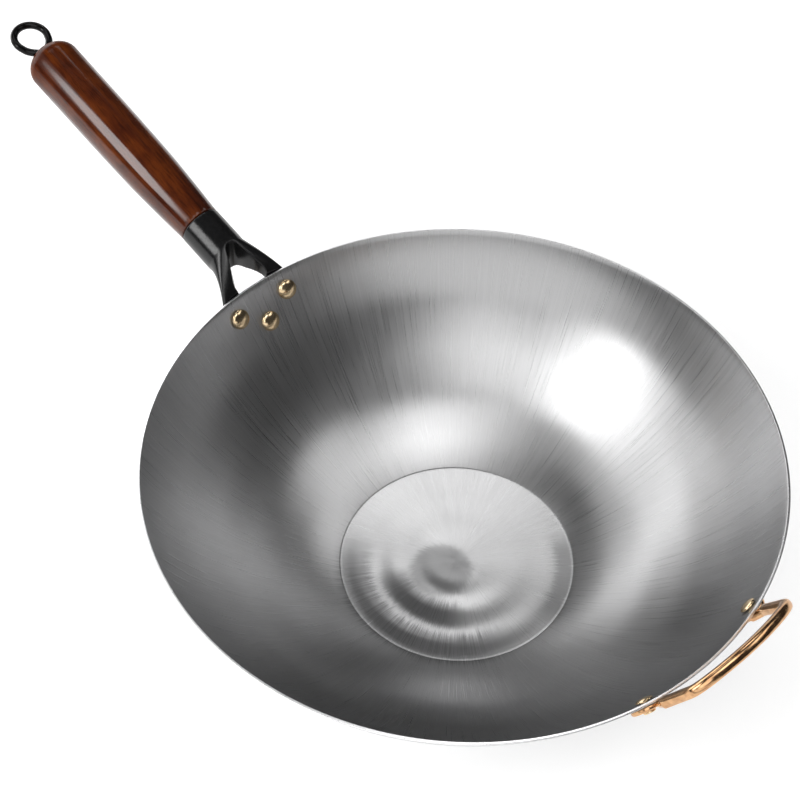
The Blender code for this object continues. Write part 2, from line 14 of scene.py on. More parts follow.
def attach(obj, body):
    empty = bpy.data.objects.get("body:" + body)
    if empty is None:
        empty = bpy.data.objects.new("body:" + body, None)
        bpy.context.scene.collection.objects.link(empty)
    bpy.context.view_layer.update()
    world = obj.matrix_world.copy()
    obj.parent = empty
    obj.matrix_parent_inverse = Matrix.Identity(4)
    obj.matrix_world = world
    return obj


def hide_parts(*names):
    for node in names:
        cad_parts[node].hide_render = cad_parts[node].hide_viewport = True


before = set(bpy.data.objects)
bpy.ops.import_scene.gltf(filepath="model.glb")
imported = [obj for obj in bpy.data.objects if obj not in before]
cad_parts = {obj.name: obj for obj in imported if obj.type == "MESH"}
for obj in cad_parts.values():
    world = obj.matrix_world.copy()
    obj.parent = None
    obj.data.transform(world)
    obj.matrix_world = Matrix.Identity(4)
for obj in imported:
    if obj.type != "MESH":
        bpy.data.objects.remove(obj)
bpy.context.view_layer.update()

# Bowl
RIM_RADIUS = 0.16854
BOWL_DEPTH = 0.09985
BASE_RADIUS = 0.0668
WALL_BULGE = 0.0135
SHEET = 0.0016
BASE_BEND_RADIUS = 0.0025
BASE_GROOVE_WIDTH = 0.0010
BASE_GROOVE_DEPTH = 0.000008
BASE_GROOVE_GAP = 0.0004
BASE_WAVE_LOW = 0.000015
BASE_WAVE_HIGH = 0.00030
BASE_WAVE_LENGTH = 0.0220
BASE_WAVE_CREST = 0.0505
BASE_WAVE_SIDE = math.radians(100)
BASE_HILL_HEIGHT = 0.00025
BASE_HILL_RADIUS = 0.0075
BASE_HILL_CENTRE = (0.0088, 0.0010)
BASE_SWIRL_CENTRE = (0.0010, 0.0115)
WALL_WAVE_HEIGHT = 0.00004
WALL_WAVE_LENGTH = 0.030

# Clearances
SEAT_GAP = 0.0003
FIT_GAP = 0.0003
HEAD_GAP = 0.0005

# Long handle
HANDLE_TILT = math.radians(17.2)
HANDLE_REACH = 0.0487
COLLAR_DIAMETER = 0.0258
COLLAR_LENGTH = 0.0244
COLLAR_EDGE = 0.0006
FORK_SPREAD = 0.0474
FORK_RUN_PAST_RIM = 0.0027
FORK_DROP = 0.0144
FORK_FLARE = 1.3
FORK_SHOULDER = 2.0
PRONG_DEPTH = 0.0052
PRONG_SQUARENESS = 3.0
ROUND_SQUARENESS = 2.0
WINDOW_LENGTH = 0.0200
WINDOW_WIDTH = 0.0206
WINDOW_DRAFT = math.radians(14)
WINDOW_DRAFT_BELOW_RIM = 0.0011
PLATE_THICKNESS = 0.0032
PLATE_MARGIN = 0.0086
PLATE_EDGE = 0.0007
BRACKET_RIVET_SPREAD = 0.0354
BRACKET_RIVET_DOWN = 0.0126
LOWER_RIVET_DOWN = 0.0245
BRACKET_RIVET = {"head": 0.0118, "dome": 0.0027, "shank": 0.0050, "tail": 0.0084}
GRIP_LENGTH = 0.1500
GRIP_START_DIAMETER = 0.0256
GRIP_DIAMETER = 0.0322
GRIP_DOME = 0.0120
GRIP_EDGE = 0.0008
EYE_MOUTH_DIAMETER = 0.0122
EYE_MOUTH_DEPTH = 0.0042
EYE_WIRE = 0.0044
EYE_RADIUS = 0.0101
EYE_CENTRE_OUT = 0.0123

# Helper handle
HELPER_ANGLE = math.radians(179.5)
HELPER_RIVET_SPREAD = 0.0775
HELPER_RIVET_DOWN = 0.0084
HELPER_RIVET = {"head": 0.0092, "dome": 0.0017, "shank": 0.0040, "tail": 0.0066}
HELPER_PAD_RADIUS = 0.0082
HELPER_PAD_DOWN = 0.0094
HELPER_PAD_THICKNESS = 0.0024
HELPER_STANDOFF = 0.0037
HELPER_FOOT_ABOVE_RIM = 0.0028
HELPER_SLOPE = math.radians(62.1)
HELPER_FOOT_SPAN = 0.0739
HELPER_CORNER_SPAN = 0.0668
HELPER_RISE = 0.0239
HELPER_BOW = 0.0092
HELPER_BAR_WIDTH = 0.0062
HELPER_BAR_DEPTH = 0.0055
HELPER_BAR_SQUARENESS = 2.6
HELPER_NECK_DIAMETER = 0.0036
HELPER_NECK_INWARD = 0.0054
HELPER_NECK_UP = 0.0026

# Steel
STEEL_DARK = (0.43, 0.43, 0.434)
STEEL_LIGHT = (0.55, 0.55, 0.554)
# Painted dark reflection: the colour put into the duller patches of the base
STEEL_PAINTED_DARK_REFLECTION = (0.11, 0.11, 0.112, 1)
# Painted highlight: near-white colour of the rim's polished cut edge
STEEL_CUT_EDGE_PAINTED_HIGHLIGHT = (0.86, 0.86, 0.865, 1)
PAINTED_DARK_SHARE = 0.85
DULL_EXTRA_ROUGHNESS = 0.05
CUT_EDGE_START = 0.0003
CUT_EDGE_FULL = 0.0001
BRUSH_DEPTH = 0.000024
BRUSH_SHARE_IN_BASE = 0.3

# Duller patches in the base, also darkened in colour as painted dark reflections, with their directions and
# half turns in degrees
PATCH_RAGGEDNESS = 0.026
SWIRL_RADIUS = 0.0165
SWIRL_REACH = 0.0190
SWIRL_SHARE = 0.6
INNER_CRESCENT = {"middle_radius": 0.0385, "half_width": 0.0090, "towards": 100, "half_turn": 36}
OUTER_CRESCENT = {"middle_radius": 0.0590, "half_width": 0.0100, "towards": 101, "half_turn": 58}
SIDE_CRESCENT = {"middle_radius": 0.0620, "half_width": 0.0060, "towards": 214, "half_turn": 24}
SIDE_CRESCENT_SHARE = 0.6

# Wood and gold
WOOD_TONES = (
    (0.30, (0.026, 0.0040, 0.0010)),
    (0.46, (0.076, 0.0125, 0.0016)),
    (0.60, (0.135, 0.0270, 0.0030)),
    (0.78, (0.250, 0.0620, 0.0075)),
)
GRAIN_STRETCH = 0.09
LACQUER_FADE_START = 0.74
LACQUER_FADE_END = 0.95
LACQUER_LEFT = 0.2
ROSE_GOLD = {"dark": (0.53, 0.28, 0.14), "light": (0.78, 0.49, 0.26), "smooth": 0.13, "dull": 0.24}
PALE_GOLD = {"dark": (0.74, 0.54, 0.32), "light": (0.90, 0.72, 0.47), "smooth": 0.14, "dull": 0.22}

# Where most values of a noise texture lie
NOISE_LOW = 0.3
NOISE_HIGH = 0.7

# Camera, from the rim and base circles in an image of 800 by 800 pixels
IMAGE_SIZE = 800
LENS_IN_PIXELS = 1550.0
SENSOR_WIDTH = 36.0
CAMERA_PLACE = Vector((0.0, -0.50775, 0.73609))
CAMERA_YAW = math.radians(-3.786)
CAMERA_PITCH = math.radians(49.603)
CAMERA_ROLL = math.radians(0.745)
TURN_TO_HANDLE = math.radians(-138.1)
CAMERA_LIFT = 0.0016

# Studio
LAMP_DISTANCE = 2.0
FAR_LAMP_DISTANCE = 6.0
WORLD_LEVEL = 0.045
FLOOR_SIZE = 400.0
FLOOR_COLOUR = (0.8, 0.8, 0.8, 1)
FLOOR_GLOW = 0.5

# Fineness of the meshes
BOWL_STEPS = 384
WALL_STEPS = 40
ROUND_STEPS = 96
CAST_VOXEL = 0.00042


def circle_through_wall():
    """Centre, radius and end slopes of the arc that the inner wall follows."""
    across = RIM_RADIUS - BASE_RADIUS
    chord = math.hypot(across, BOWL_DEPTH)
    radius = (chord * chord / 4 + WALL_BULGE * WALL_BULGE) / (2 * WALL_BULGE)
    half_turn = math.asin(chord / 2 / radius)
    chord_slope = math.atan2(BOWL_DEPTH, across)
    rim_slope = chord_slope + half_turn
    base_slope = chord_slope - half_turn
    centre_r = RIM_RADIUS - radius * math.sin(rim_slope)
    centre_z = SHEET + BOWL_DEPTH + radius * math.cos(rim_slope)
    return centre_r, centre_z, radius, base_slope, rim_slope


WALL_R, WALL_Z, WALL_RADIUS, BASE_SLOPE, RIM_SLOPE = circle_through_wall()


def wall_point(slope, offset):
    """Radius and height on the wall where it has this slope, moved outwards by the offset."""
    reach = WALL_RADIUS + offset
    return WALL_R + reach * math.sin(slope), WALL_Z - reach * math.cos(slope)


RIM_EDGE_RADIUS, RIM_EDGE_HEIGHT = wall_point(RIM_SLOPE, SHEET)


def slope_below_rim(down):
    return RIM_SLOPE - down / WALL_RADIUS


def wall_frame(angle, down, offset=0.0):
    """Frame on the wall: X runs round the bowl, Y up the wall and Z out of it."""
    slope = slope_below_rim(down)
    radius, height = wall_point(slope, offset)
    radial = Vector((math.cos(angle), math.sin(angle), 0))
    around = Vector((-math.sin(angle), math.cos(angle), 0))
    up = radial * math.cos(slope) + Vector((0, 0, math.sin(slope)))
    out = radial * math.sin(slope) - Vector((0, 0, math.cos(slope)))
    place = Matrix((around, up, out)).transposed().to_4x4()
    place.translation = radial * radius + Vector((0, 0, height))
    return place


def angle_for_half_span(span, down):
    radius, _ = wall_point(slope_below_rim(down), 0.0)
    return math.asin(span / 2 / radius)


def smooth_path(points, per_span, closed=False):
    """Points on a smooth curve through the given ones."""
    points = [Vector(p) for p in points]
    count = len(points)
    spans = count if closed else count - 1
    path = []
    for i in range(spans):
        if closed:
            before, here, there, after = (points[(i + k) % count] for k in (-1, 0, 1, 2))
        else:
            here, there = points[i], points[i + 1]
            before = points[i - 1] if i else here * 2 - there
            after = points[i + 2] if i + 2 < count else there * 2 - here
        for step in range(per_span):
            t = step / per_span
            path.append(
                here
                + (there - before) * (t / 2)
                + (before * 2 - here * 5 + there * 4 - after) * (t * t / 2)
                + (here * 3 - before - there * 3 + after) * (t * t * t / 2)
            )
    if not closed:
        path.append(points[-1])
    return path


def join_rings(body, pairs):
    """Faces between the two rings of each pair."""
    for low, high in pairs:
        for i in range(len(low)):
            j = (i + 1) % len(low)
            body.faces.new((low[i], low[j], high[j], high[i]))


def loft(rings, closed=False):
    """A closed body through rings of points, capped at both ends unless it closes on itself."""
    body = bmesh.new()
    loops = [[body.verts.new(p) for p in ring] for ring in rings]
    pairs = list(zip(loops, loops[1:]))
    if closed:
        pairs.append((loops[-1], loops[0]))
    join_rings(body, pairs)
    if not closed:
        body.faces.new(loops[0])
        body.faces.new(loops[-1])
    bmesh.ops.recalc_face_normals(body, faces=body.faces)
    return body


def turned(profile, steps):
    """A body turned about Z from a profile of radius and height that ends on the axis or meets itself."""
    body = bmesh.new()
    rings = []
    for radius, height in profile:
        if radius == 0:
            rings.append([body.verts.new((0, 0, height))])
            continue
        ring = []
        for i in range(steps):
            turn = 2 * math.pi * i / steps
            ring.append(body.verts.new((radius * math.cos(turn), radius * math.sin(turn), height)))
        rings.append(ring)
    pairs = list(zip(rings, rings[1:]))
    if profile[0][0] > 0:
        pairs.append((rings[-1], rings[0]))
    for low, high in pairs:
        for i in range(steps):
            j = (i + 1) % steps
            if len(low) == 1:
                corners = [low[0], high[j], high[i]]
            elif len(high) == 1:
                corners = [low[i], low[j], high[0]]
            else:
                corners = [low[i], low[j], high[j], high[i]]
            body.faces.new(corners)
    bmesh.ops.recalc_face_normals(body, faces=body.faces)
    return body


def section(half_width, half_depth, squareness, count):
    """Points of a rounded section, a circle or ellipse at squareness 2 and boxier above it."""
    points = []
    for i in range(count):
        turn = 2 * math.pi * i / count
        across, up = math.cos(turn), math.sin(turn)
        points.append(
            (
                math.copysign(abs(across) ** (2 / squareness), across) * half_width,
                math.copysign(abs(up) ** (2 / squareness), up) * half_depth,
            )
        )
    return points


def swept(path, outlines, across_start, closed=False):
    """A body swept along a path, with the section's width kept near to a starting direction."""
    rings = []
    across = Vector(across_start)
    for i, point in enumerate(path):
        before = path[i - 1] if i or closed else path[0]
        after = path[(i + 1) % len(path)] if i + 1 < len(path) or closed else path[-1]
        along = (after - before).normalized()
        across = (across - along * across.dot(along)).normalized()
        up = along.cross(across)
        rings.append([point + across * a + up * b for a, b in outlines[i]])
    return loft(rings, closed)


def with_round_ends(path, outline, reach):
    """The path with a dome added at both ends, and the outline scaled for each of its points."""
    dome_steps = 6
    last_turn = math.radians(86)
    turns = [last_turn * i / dome_steps for i in range(dome_steps, 0, -1)]
    start = (path[0] - path[1]).normalized() * reach
    end = (path[-1] - path[-2]).normalized() * reach
    points = [path[0] + start * math.sin(t) for t in turns] + path
    points += [path[-1] + end * math.sin(t) for t in turns[::-1]]
    sizes = [math.cos(t) for t in turns] + [1.0] * len(path) + [math.cos(t) for t in turns[::-1]]
    return points, [[(a * size, b * size) for a, b in outline] for size in sizes]


def rounded_outline(centres, radius, steps, longest=0.002):
    """Outline at a distance round a point, or round a polygon that runs anticlockwise."""
    count = len(centres)
    if count == 1:
        x, y = centres[0]
        turns = [2 * math.pi * i / steps for i in range(steps)]
        return [(x + radius * math.cos(t), y + radius * math.sin(t)) for t in turns]
    outline = []
    for i, (x, y) in enumerate(centres):
        last_x, last_y = centres[i - 1]
        next_x, next_y = centres[(i + 1) % count]
        start = math.atan2(-(x - last_x), y - last_y)
        end = math.atan2(-(next_x - x), next_y - y)
        turn = (end - start) % (2 * math.pi)
        for step in range(steps + 1):
            t = start + turn * step / steps
            outline.append((x + radius * math.cos(t), y + radius * math.sin(t)))
        corner_x, corner_y = outline[-1]
        parts = max(1, math.ceil(math.hypot(next_x - x, next_y - y) / longest))
        for part in range(1, parts):
            share = part / parts
            outline.append((corner_x + (next_x - x) * share, corner_y + (next_y - y) * share))
    return outline


def wall_pad(outline, angle, down, thickness, edge):
    """A pad that follows the outside of the wall, from an outline round a point on the wall."""
    inner = SHEET + SEAT_GAP
    outer = inner + thickness
    middle_x = sum(x for x, _ in outline) / len(outline)
    middle_y = sum(y for _, y in outline) / len(outline)
    reach = min(math.hypot(x - middle_x, y - middle_y) for x, y in outline)

    def on_wall(x, y, offset):
        slope = slope_below_rim(down - y)
        radius, height = wall_point(slope, offset)
        turn = angle + x / radius
        return Vector((radius * math.cos(turn), radius * math.sin(turn), height))

    def ring(share, offset):
        points = []
        for x, y in outline:
            near_x = middle_x + (x - middle_x) * share
            near_y = middle_y + (y - middle_y) * share
            points.append(on_wall(near_x, near_y, offset))
        return points

    inset = 1 - edge / reach
    shares = [(k / 5, inner) for k in range(1, 6)] + [(1, outer - edge), (inset, outer)]
    shares += [(k / 5, outer) for k in range(4, 0, -1)]
    pad = bmesh.new()
    loops = [[pad.verts.new(p) for p in ring(share, offset)] for share, offset in shares]
    join_rings(pad, zip(loops, loops[1:]))
    for loop, offset in ((loops[0], inner), (loops[-1], outer)):
        tip = pad.verts.new(on_wall(middle_x, middle_y, offset))
        for i in range(len(loop)):
            pad.faces.new((loop[i], loop[(i + 1) % len(loop)], tip))
    bmesh.ops.recalc_face_normals(pad, faces=pad.faces)
    return pad


def make_object(name, body, matrix=None, sharp_angle=math.radians(40)):
    mesh = bpy.data.meshes.new(name)
    body.to_mesh(mesh)
    body.free()
    if matrix:
        mesh.transform(matrix)
    mesh.shade_smooth()
    mesh.set_sharp_from_angle(angle=sharp_angle)
    made = bpy.data.objects.new(name, mesh)
    bpy.context.scene.collection.objects.link(made)
    return made


def apply_modifiers(piece):
    """Replaces the piece's mesh by the result of its modifiers."""
    graph = bpy.context.evaluated_depsgraph_get()
    mesh = bpy.data.meshes.new_from_object(piece.evaluated_get(graph))
    old = piece.data
    piece.modifiers.clear()
    piece.data = mesh
    bpy.data.meshes.remove(old)


def combine(piece, steps):
    """Cuts and joins other bodies, in order, and removes them afterwards."""
    tools = []
    for operation, tool in steps:
        modifier = piece.modifiers.new(tool.name, "BOOLEAN")
        modifier.operation = operation
        modifier.object = tool
        modifier.solver = "EXACT"
        tools.append(tool)
    apply_modifiers(piece)
    for tool in tools:
        bpy.data.objects.remove(tool, do_unlink=True)


def soften(piece, voxel, rounds):
    """Gives a cast piece the small roundings of its mould."""
    remesh = piece.modifiers.new("remesh", "REMESH")
    remesh.mode = "VOXEL"
    remesh.voxel_size = voxel
    smooth = piece.modifiers.new("smooth", "SMOOTH")
    smooth.factor = 0.5
    smooth.iterations = rounds
    apply_modifiers(piece)
    piece.data.shade_smooth()


def hand_over(piece, finish, node):
    """The piece gets its finish, and stands for its solid."""
    piece.data.materials.clear()
    piece.data.materials.append(finish)
    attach(piece, "root")
    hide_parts(node)


def rod_body(radius, start, end, steps):
    return turned([(0, end), (radius, end), (radius, start), (0, start)], steps)


def pin_between(start, end, radius, steps):
    """A bar with round ends, between two points, and the frame that it lies in."""
    length = (end - start).length
    end_steps = 6
    profile = [(0, length + radius)]
    for i in range(1, end_steps + 1):
        turn = math.pi / 2 * i / end_steps
        profile.append((radius * math.sin(turn), length + radius * math.cos(turn)))
    profile += [(r, length - z) for r, z in profile[::-1]]
    place = (end - start).to_track_quat("Z", "Y").to_matrix().to_4x4()
    place.translation = start
    return turned(profile, steps), place


def rivet_body(sizes, grip, steps=48):
    """A domed rivet with a rolled hollow tail. Z runs out of the wall from its inner face."""
    head_radius, shank_radius, tail_radius = sizes["head"] / 2, sizes["shank"] / 2, sizes["tail"] / 2
    dome = sizes["dome"]
    lip = dome * 0.22
    seat = grip + SEAT_GAP
    tail_height = tail_radius * 0.32
    hollow = shank_radius * 0.62
    hollow_floor = seat - tail_height * 0.6
    hollow_foot = hollow * 0.7
    hollow_lip = seat + tail_height * 0.7
    profile = [(0, hollow_floor), (hollow_foot, hollow_floor), (hollow, hollow_lip)]
    roll_steps = 6
    roll_middle = (hollow + tail_radius) / 2
    roll_half = (tail_radius - hollow) / 2
    for i in range(1, roll_steps):
        turn = math.pi * (1 - i / roll_steps)
        rise = tail_height * (0.5 + 0.5 * math.sin(turn))
        profile.append((roll_middle + roll_half * math.cos(turn), seat + rise))
    tail_side = seat + tail_height * 0.45
    tail_foot = tail_radius * 0.96
    under_lip = head_radius * 0.965
    over_lip = 0.985
    profile += [(tail_radius, tail_side), (tail_foot, seat)]
    profile += [(shank_radius, seat), (shank_radius, -HEAD_GAP), (under_lip, -HEAD_GAP)]
    profile += [(head_radius, -HEAD_GAP - lip * 0.5)]
    dome_steps = 12
    for i in range(dome_steps):
        turn = math.pi / 2 * i / dome_steps
        height = -HEAD_GAP - lip - (dome - lip) * math.sin(turn)
        profile.append((head_radius * math.cos(turn) * over_lip, height))
    profile.append((0, -HEAD_GAP - dome))
    return turned(profile, steps)


def stepped_drill(sizes, plate):
    """A cutter for a rivet's hole in a plate behind the wall, wider behind it to clear the tail."""
    face = SHEET + SEAT_GAP + plate
    hole = sizes["shank"] / 2 + FIT_GAP
    clear = sizes["tail"] / 2 + HEAD_GAP
    far = face + sizes["tail"]
    near = SHEET / 2
    profile = [(0, far), (clear, far), (clear, face), (hole, face), (hole, near), (0, near)]
    return turned(profile, 48)


def rivet_places():
    turn = angle_for_half_span(BRACKET_RIVET_SPREAD, BRACKET_RIVET_DOWN)
    return [
        ("bracket_rivet_left", wall_frame(turn, BRACKET_RIVET_DOWN)),
        ("bracket_rivet_right", wall_frame(-turn, BRACKET_RIVET_DOWN)),
        ("bracket_rivet_lower", wall_frame(0.0, LOWER_RIVET_DOWN)),
    ]


def helper_rivet_places():
    turn = angle_for_half_span(HELPER_RIVET_SPREAD, HELPER_RIVET_DOWN)
    return [
        ("helper_rivet_left", wall_frame(HELPER_ANGLE + turn, HELPER_RIVET_DOWN)),
        ("helper_rivet_right", wall_frame(HELPER_ANGLE - turn, HELPER_RIVET_DOWN)),
    ]


def bowl_profile():
    """The sheet's section: inside from the centre to the rim, round its edge and back underneath."""
    bend_start = BASE_RADIUS - BASE_BEND_RADIUS * math.tan(BASE_SLOPE / 2)

    def side(offset):
        points = []
        bend_steps = 8
        for i in range(bend_steps + 1):
            turn = BASE_SLOPE * i / bend_steps
            radius = bend_start + (BASE_BEND_RADIUS + offset) * math.sin(turn)
            height = SHEET + BASE_BEND_RADIUS - (BASE_BEND_RADIUS + offset) * math.cos(turn)
            points.append((radius, height))
        for i in range(1, WALL_STEPS + 1):
            slope = BASE_SLOPE + (RIM_SLOPE - BASE_SLOPE) * i / WALL_STEPS
            points.append(wall_point(slope, offset))
        return points

    base_steps = 48
    groove_end = bend_start - BASE_GROOVE_GAP
    groove_start = groove_end - BASE_GROOVE_WIDTH
    base = [(0, SHEET)] + [(groove_start * i / base_steps, SHEET) for i in range(1, base_steps + 1)]
    groove_steps = 8
    for i in range(1, groove_steps + 1):
        share = i / groove_steps
        depth = BASE_GROOVE_DEPTH * (0.5 - 0.5 * math.cos(2 * math.pi * share))
        base.append((groove_start + BASE_GROOVE_WIDTH * share, SHEET - depth))
    inside = side(0.0)
    outside = side(SHEET)
    edge = SHEET * 0.16
    edge_steps = 4
    corner = []
    for i in range(edge_steps + 1):
        turn = math.pi / 2 * i / edge_steps
        down = edge * (1 - math.sin(turn))
        corner.append((slope_below_rim(down), edge * (1 - math.cos(turn))))
    rim = [wall_point(slope, inset) for slope, inset in corner]
    rim += [wall_point(slope, SHEET - inset) for slope, inset in corner[::-1]]
    under = [(outside[0][0] * i / base_steps, 0.0) for i in range(base_steps - 1, 0, -1)] + [(0, 0.0)]
    return base + inside[:-1] + rim + outside[-2::-1] + under


def base_wave(x, y):
    """Height of the shallow rings in the base, strongest on one side, and of its low hill."""
    radius = math.hypot(x, y)
    side = 0.5 + 0.5 * math.cos(math.atan2(y, x) - BASE_WAVE_SIDE)
    height = BASE_WAVE_LOW + (BASE_WAVE_HIGH - BASE_WAVE_LOW) * side**4
    core_radius = BASE_WAVE_LENGTH * 0.75
    core = radius**4 / (radius**4 + core_radius**4)
    wave = height * core * math.sin(2 * math.pi * (radius - BASE_WAVE_CREST) / BASE_WAVE_LENGTH)
    near = (x - BASE_HILL_CENTRE[0]) ** 2 + (y - BASE_HILL_CENTRE[1]) ** 2
    wave += BASE_HILL_HEIGHT * math.exp(-near / (2 * BASE_HILL_RADIUS**2))
    return wave * (1 - (radius / BASE_RADIUS) ** 16)


def spinning_waves(body):
    """Shallow waves that spinning leaves, in the base's upper face and on both faces of the wall."""
    for vertex in body.verts:
        place = vertex.co
        radius = math.hypot(place.x, place.y)
        if radius < BASE_RADIUS:
            if place.z > SHEET / 2:
                place.z += base_wave(place.x, place.y)
            continue
        slope = math.atan2(radius - WALL_R, WALL_Z - place.z)
        along = (slope - BASE_SLOPE) * WALL_RADIUS
        left = (RIM_SLOPE - slope) * WALL_RADIUS
        fade = min(1.0, max(0.0, along) / WALL_WAVE_LENGTH, max(0.0, left) / WALL_WAVE_LENGTH)
        shift = WALL_WAVE_HEIGHT * fade * math.cos(2 * math.pi * along / WALL_WAVE_LENGTH)
        place.x -= shift * math.sin(slope) * place.x / radius
        place.y -= shift * math.sin(slope) * place.y / radius
        place.z += shift * math.cos(slope)


def make_bowl(finish):
    body = turned(bowl_profile(), BOWL_STEPS)
    spinning_waves(body)
    piece = make_object("wok_bowl", body, sharp_angle=math.radians(50))
    steps = []
    for sizes, places in ((BRACKET_RIVET, rivet_places()), (HELPER_RIVET, helper_rivet_places())):
        for name, matrix in places:
            drill = rod_body(sizes["shank"] / 2 + FIT_GAP, -SHEET, 2 * SHEET, steps=32)
            steps.append(("DIFFERENCE", make_object("hole_" + name, drill, matrix)))
    combine(piece, steps)
    hand_over(piece, finish, "bowl")


def handle_matrices():
    axis = Vector((math.cos(HANDLE_TILT), 0, math.sin(HANDLE_TILT)))
    joint = Vector((RIM_EDGE_RADIUS, 0, RIM_EDGE_HEIGHT)) + axis * HANDLE_REACH
    handle = Matrix.Translation(joint) @ Matrix.Rotation(-HANDLE_TILT, 4, "Y")
    return handle, handle @ Matrix.Rotation(math.pi / 2, 4, "Y")


def fork_body():
    """Collar and fork as one loft along the handle axis, before the window is cut."""
    collar_radius = COLLAR_DIAMETER / 2
    run = HANDLE_REACH + FORK_RUN_PAST_RIM - COLLAR_LENGTH
    end_radius = collar_radius - COLLAR_EDGE
    stations = [(0.0, end_radius, end_radius, -end_radius, ROUND_SQUARENESS)]
    stations.append((-COLLAR_EDGE, collar_radius, collar_radius, -collar_radius, ROUND_SQUARENESS))
    steps = 36
    overrun = 1.35
    for i in range(steps + 1):
        share = overrun * i / steps
        flare = share**FORK_FLARE
        width = collar_radius + (FORK_SPREAD / 2 - collar_radius) * flare
        top = collar_radius - FORK_DROP * flare
        depth = PRONG_DEPTH + (COLLAR_DIAMETER - PRONG_DEPTH) * max(0.0, 1 - share) ** FORK_SHOULDER
        squareness = ROUND_SQUARENESS + (PRONG_SQUARENESS - ROUND_SQUARENESS) * min(1.0, share)
        stations.append((-COLLAR_LENGTH - run * share, width, top, top - depth, squareness))
    rings = []
    for along, width, top, bottom, squareness in stations:
        outline = section(width, (top - bottom) / 2, squareness, ROUND_STEPS)
        rings.append([(along, across, (top + bottom) / 2 + up) for across, up in outline])
    return loft(rings)


def window_body():
    """A cutter for the fork's window, straight at the bottom and wider towards the top."""
    shape = [(1, 0.0), (0.985, 0.17), (0.94, 0.28), (0.86, 0.35), (0.65, 0.46)]
    shape += [(0.42, 0.69), (0.2, 0.95), (0.0, 1.0), (-0.5, 0.93)]
    low = RIM_EDGE_HEIGHT - COLLAR_DIAMETER
    draft_start = RIM_EDGE_HEIGHT - WINDOW_DRAFT_BELOW_RIM
    high = RIM_EDGE_HEIGHT + COLLAR_DIAMETER
    levels = ((low, 0.0), (draft_start, 0.0), (high, (high - draft_start) * math.tan(WINDOW_DRAFT)))
    rings = []
    for height, draft in levels:
        half = []
        for along, across in shape:
            reach = across * WINDOW_WIDTH / 2 + draft * min(1.0, 1 - along)
            half.append((RIM_EDGE_RADIUS + WINDOW_LENGTH * along, reach, height))
        half = smooth_path(half, per_span=6)
        other = [(x, -y, z) for x, y, z in half[:0:-1]]
        rings.append([tuple(p) for p in half] + other)
    return loft(rings)


def bowl_envelope(offset):
    """Everything inside the wall and above the rim, grown by an offset, to trim the fork with."""
    wall = []
    for i in range(WALL_STEPS + 1):
        slope = BASE_SLOPE + (RIM_SLOPE - BASE_SLOPE) * i / WALL_STEPS
        wall.append(wall_point(slope, SHEET + offset))
    top = RIM_EDGE_HEIGHT + HANDLE_REACH
    return turned([(0, top), (wall[-1][0], top)] + wall[::-1] + [(0, wall[0][1])], BOWL_STEPS)


def make_bracket(finish):
    """The cast bracket: collar, fork and the plate behind the wall, with softened edges."""
    handle, _ = handle_matrices()
    piece = make_object("cast_bracket", fork_body(), handle)
    half = BRACKET_RIVET_SPREAD / 2
    drop = BRACKET_RIVET_DOWN - LOWER_RIVET_DOWN
    outline = rounded_outline([(-half, 0), (0, drop), (half, 0)], PLATE_MARGIN, steps=24)
    plate = wall_pad(outline, 0.0, BRACKET_RIVET_DOWN, PLATE_THICKNESS, PLATE_EDGE)
    steps = [
        ("DIFFERENCE", make_object("fork_trim", bowl_envelope(SEAT_GAP + PLATE_THICKNESS / 4))),
        ("DIFFERENCE", make_object("fork_window", window_body())),
        ("UNION", make_object("bracket_plate", plate)),
    ]
    for name, matrix in rivet_places():
        drill = stepped_drill(BRACKET_RIVET, PLATE_THICKNESS)
        steps.append(("DIFFERENCE", make_object("plate_hole_" + name, drill, matrix)))
    combine(piece, steps)
    soften(piece, CAST_VOXEL, rounds=5)
    hand_over(piece, finish, "handle_bracket")


def make_grip(finish):
    """The turned wood grip, with a domed end and a mouth for the hanging eye."""
    full = GRIP_DIAMETER / 2
    first = GRIP_START_DIAMETER / 2
    dome_start = GRIP_LENGTH - GRIP_DOME
    start = FIT_GAP
    side = [(first, start + GRIP_EDGE)]
    for share, swell in ((0.135, 0.38), (0.30, 0.76), (0.52, 0.94), (0.76, 1.0)):
        side.append((first + (full - first) * swell, GRIP_LENGTH * share))
    mouth = EYE_MOUTH_DIAMETER / 2
    dome_end = math.acos(mouth / full)
    dome_steps = 24
    dome = []
    for i in range(dome_steps + 1):
        turn = dome_end * i / dome_steps
        dome.append((full * math.cos(turn), dome_start + GRIP_DOME * math.sin(turn)))
    outline = [(0, start), (first - GRIP_EDGE, start)]
    edge_steps = 4
    for i in range(1, edge_steps):
        turn = math.pi / 2 * i / edge_steps
        outline.append((first - GRIP_EDGE * (1 - math.sin(turn)), start + GRIP_EDGE * (1 - math.cos(turn))))
    outline += [(p.x, p.y) for p in smooth_path(side + [dome[0]], per_span=10)]
    outline += dome[1:]
    lip = dome[-1][1]
    floor = lip - EYE_MOUTH_DEPTH
    lip_in, lip_down = 0.0006, 0.0004
    foot_in, foot_up = 0.0008, 0.0006
    floor_in = 0.0016
    outline += [(mouth - lip_in, lip - lip_down), (mouth - foot_in, floor + foot_up)]
    outline += [(mouth - floor_in, floor), (0, floor)]
    _, along_handle = handle_matrices()
    piece = make_object("wood_grip", turned(outline[::-1], ROUND_STEPS), along_handle)
    hand_over(piece, finish, "handle_grip")


